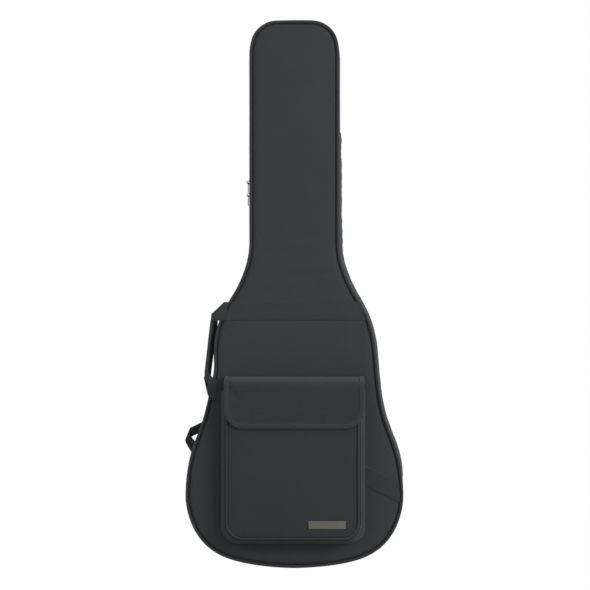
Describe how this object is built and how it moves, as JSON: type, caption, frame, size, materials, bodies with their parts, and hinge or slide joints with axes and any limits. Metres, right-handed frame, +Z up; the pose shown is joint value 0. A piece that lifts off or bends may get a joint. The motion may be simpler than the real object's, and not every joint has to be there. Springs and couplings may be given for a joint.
{
  "type": "padded gig bag",
  "caption": "Padded soft case for a full-size acoustic guitar, with a bound flap pocket, webbing handles, a two-slider zip and padded shoulder straps",
  "frame": {"origin": "bottom centre of the bounding box, under the lowest point of the lower bout", "axes": "+Z up along the neck, -Y out of the front panel with the pocket, +X to the right seen from the front"},
  "size_m": [0.4497, 0.186, 1.112],
  "materials": {
    "woven_polyester": "matte",
    "smooth_polyester": "matte",
    "foam_sheet": "matte",
    "lining_cloth": "matte",
    "webbing": "matte",
    "zip_tape_cloth": "matte",
    "zip_coil": "satin",
    "nickel_zinc": "polished",
    "moulded_acetal": "satin",
    "hook_and_loop": "matte",
    "label_cloth": "matte"
  },
  "bodies": {
    "shell": {"back_cover": "woven_polyester", "back_foam": "foam_sheet", "back_lining": "lining_cloth", "rear_side_cover": "woven_polyester", "rear_side_foam": "foam_sheet", "rear_side_lining": "lining_cloth", "rear_piping": "smooth_polyester", "shell_zip_tape": "zip_tape_cloth", "shell_zip_chain": "zip_coil", "hinge_fabric": "woven_polyester", "rear_upper_band": "webbing", "rear_lower_band": "webbing", "strap_yoke": "woven_polyester", "hang_loop": "webbing", "left_strap_pad": "woven_polyester", "right_strap_pad": "woven_polyester", "left_strap_lock": "moulded_acetal", "right_strap_lock": "moulded_acetal", "left_strap_webbing": "webbing", "right_strap_webbing": "webbing"},
    "lid": {"front_cover": "woven_polyester", "front_foam": "foam_sheet", "front_lining": "lining_cloth", "front_side_cover": "woven_polyester", "front_side_foam": "foam_sheet", "front_side_lining": "lining_cloth", "front_piping": "smooth_polyester", "lid_zip_tape": "zip_tape_cloth", "lid_zip_chain": "zip_coil", "upper_band": "webbing", "cross_band": "webbing", "pocket_walls": "woven_polyester", "pocket_panel": "woven_polyester", "pocket_piping": "smooth_polyester", "pocket_binding": "smooth_polyester", "pocket_loop_tape": "hook_and_loop", "blank_label": "label_cloth"},
    "pocket_flap": {"flap_panel": "woven_polyester", "flap_binding": "smooth_polyester", "flap_hook_tape": "hook_and_loop"},
    "front_handle": {"front_handle": "webbing"},
    "rear_handle": {"rear_handle": "webbing"},
    "upper_slider": {"upper_slider": "nickel_zinc"},
    "lower_slider": {"lower_slider": "nickel_zinc"},
    "upper_pull": {"upper_pull": "nickel_zinc"},
    "lower_pull": {"lower_pull": "nickel_zinc"},
    "left_strap_slider": {"left_strap_slider": "moulded_acetal"},
    "right_strap_slider": {"right_strap_slider": "moulded_acetal"}
  },
  "joints": [
    {"name": "lid_hinge", "type": "hinge", "parent": "shell", "child": "lid", "pos_m": [0.21891, -0.007, 0.183], "axis": [-0.1426, 0, 0.9898], "range_deg": [0, 110], "deforming": ["hinge_fabric"]},
    {"name": "flap_hinge", "type": "hinge", "parent": "lid", "child": "pocket_flap", "pos_m": [0.0005, -0.0515, 0.386], "axis": [-1, 0, 0], "range_deg": [0, 95]},
    {"name": "front_handle_swing", "type": "hinge", "parent": "lid", "child": "front_handle", "pos_m": [-0.16295, -0.0507, 0.355], "axis": [0.142, 0, 0.9899], "range_deg": [0, 100]},
    {"name": "rear_handle_swing", "type": "hinge", "parent": "shell", "child": "rear_handle", "pos_m": [-0.15925, 0.0738, 0.355], "axis": [0.1845, 0, 0.9828], "range_deg": [0, 165]},
    {"name": "upper_slider_travel", "type": "slide", "parent": "shell", "child": "upper_slider", "axis": [0, 0, 1], "range_m": [0, 0.24]},
    {"name": "lower_slider_travel", "type": "slide", "parent": "shell", "child": "lower_slider", "axis": [0, 0, -1], "range_m": [0, 0.08]},
    {"name": "upper_pull_swing", "type": "hinge", "parent": "upper_slider", "child": "upper_pull", "pos_m": [-0.0953, -0.007, 0.7822], "axis": [0, 1, 0], "range_deg": [0, 150]},
    {"name": "lower_pull_swing", "type": "hinge", "parent": "lower_slider", "child": "lower_pull", "pos_m": [-0.0953, -0.007, 0.7562], "axis": [0, 1, 0], "range_deg": [0, 150]},
    {"name": "left_strap_adjust", "type": "slide", "parent": "shell", "child": "left_strap_slider", "axis": [-0.8533, 0, -0.5214], "range_m": [-0.008, 0.042]},
    {"name": "right_strap_adjust", "type": "slide", "parent": "shell", "child": "right_strap_slider", "axis": [0.8533, 0, -0.5214], "range_m": [-0.008, 0.042]}
  ]
}
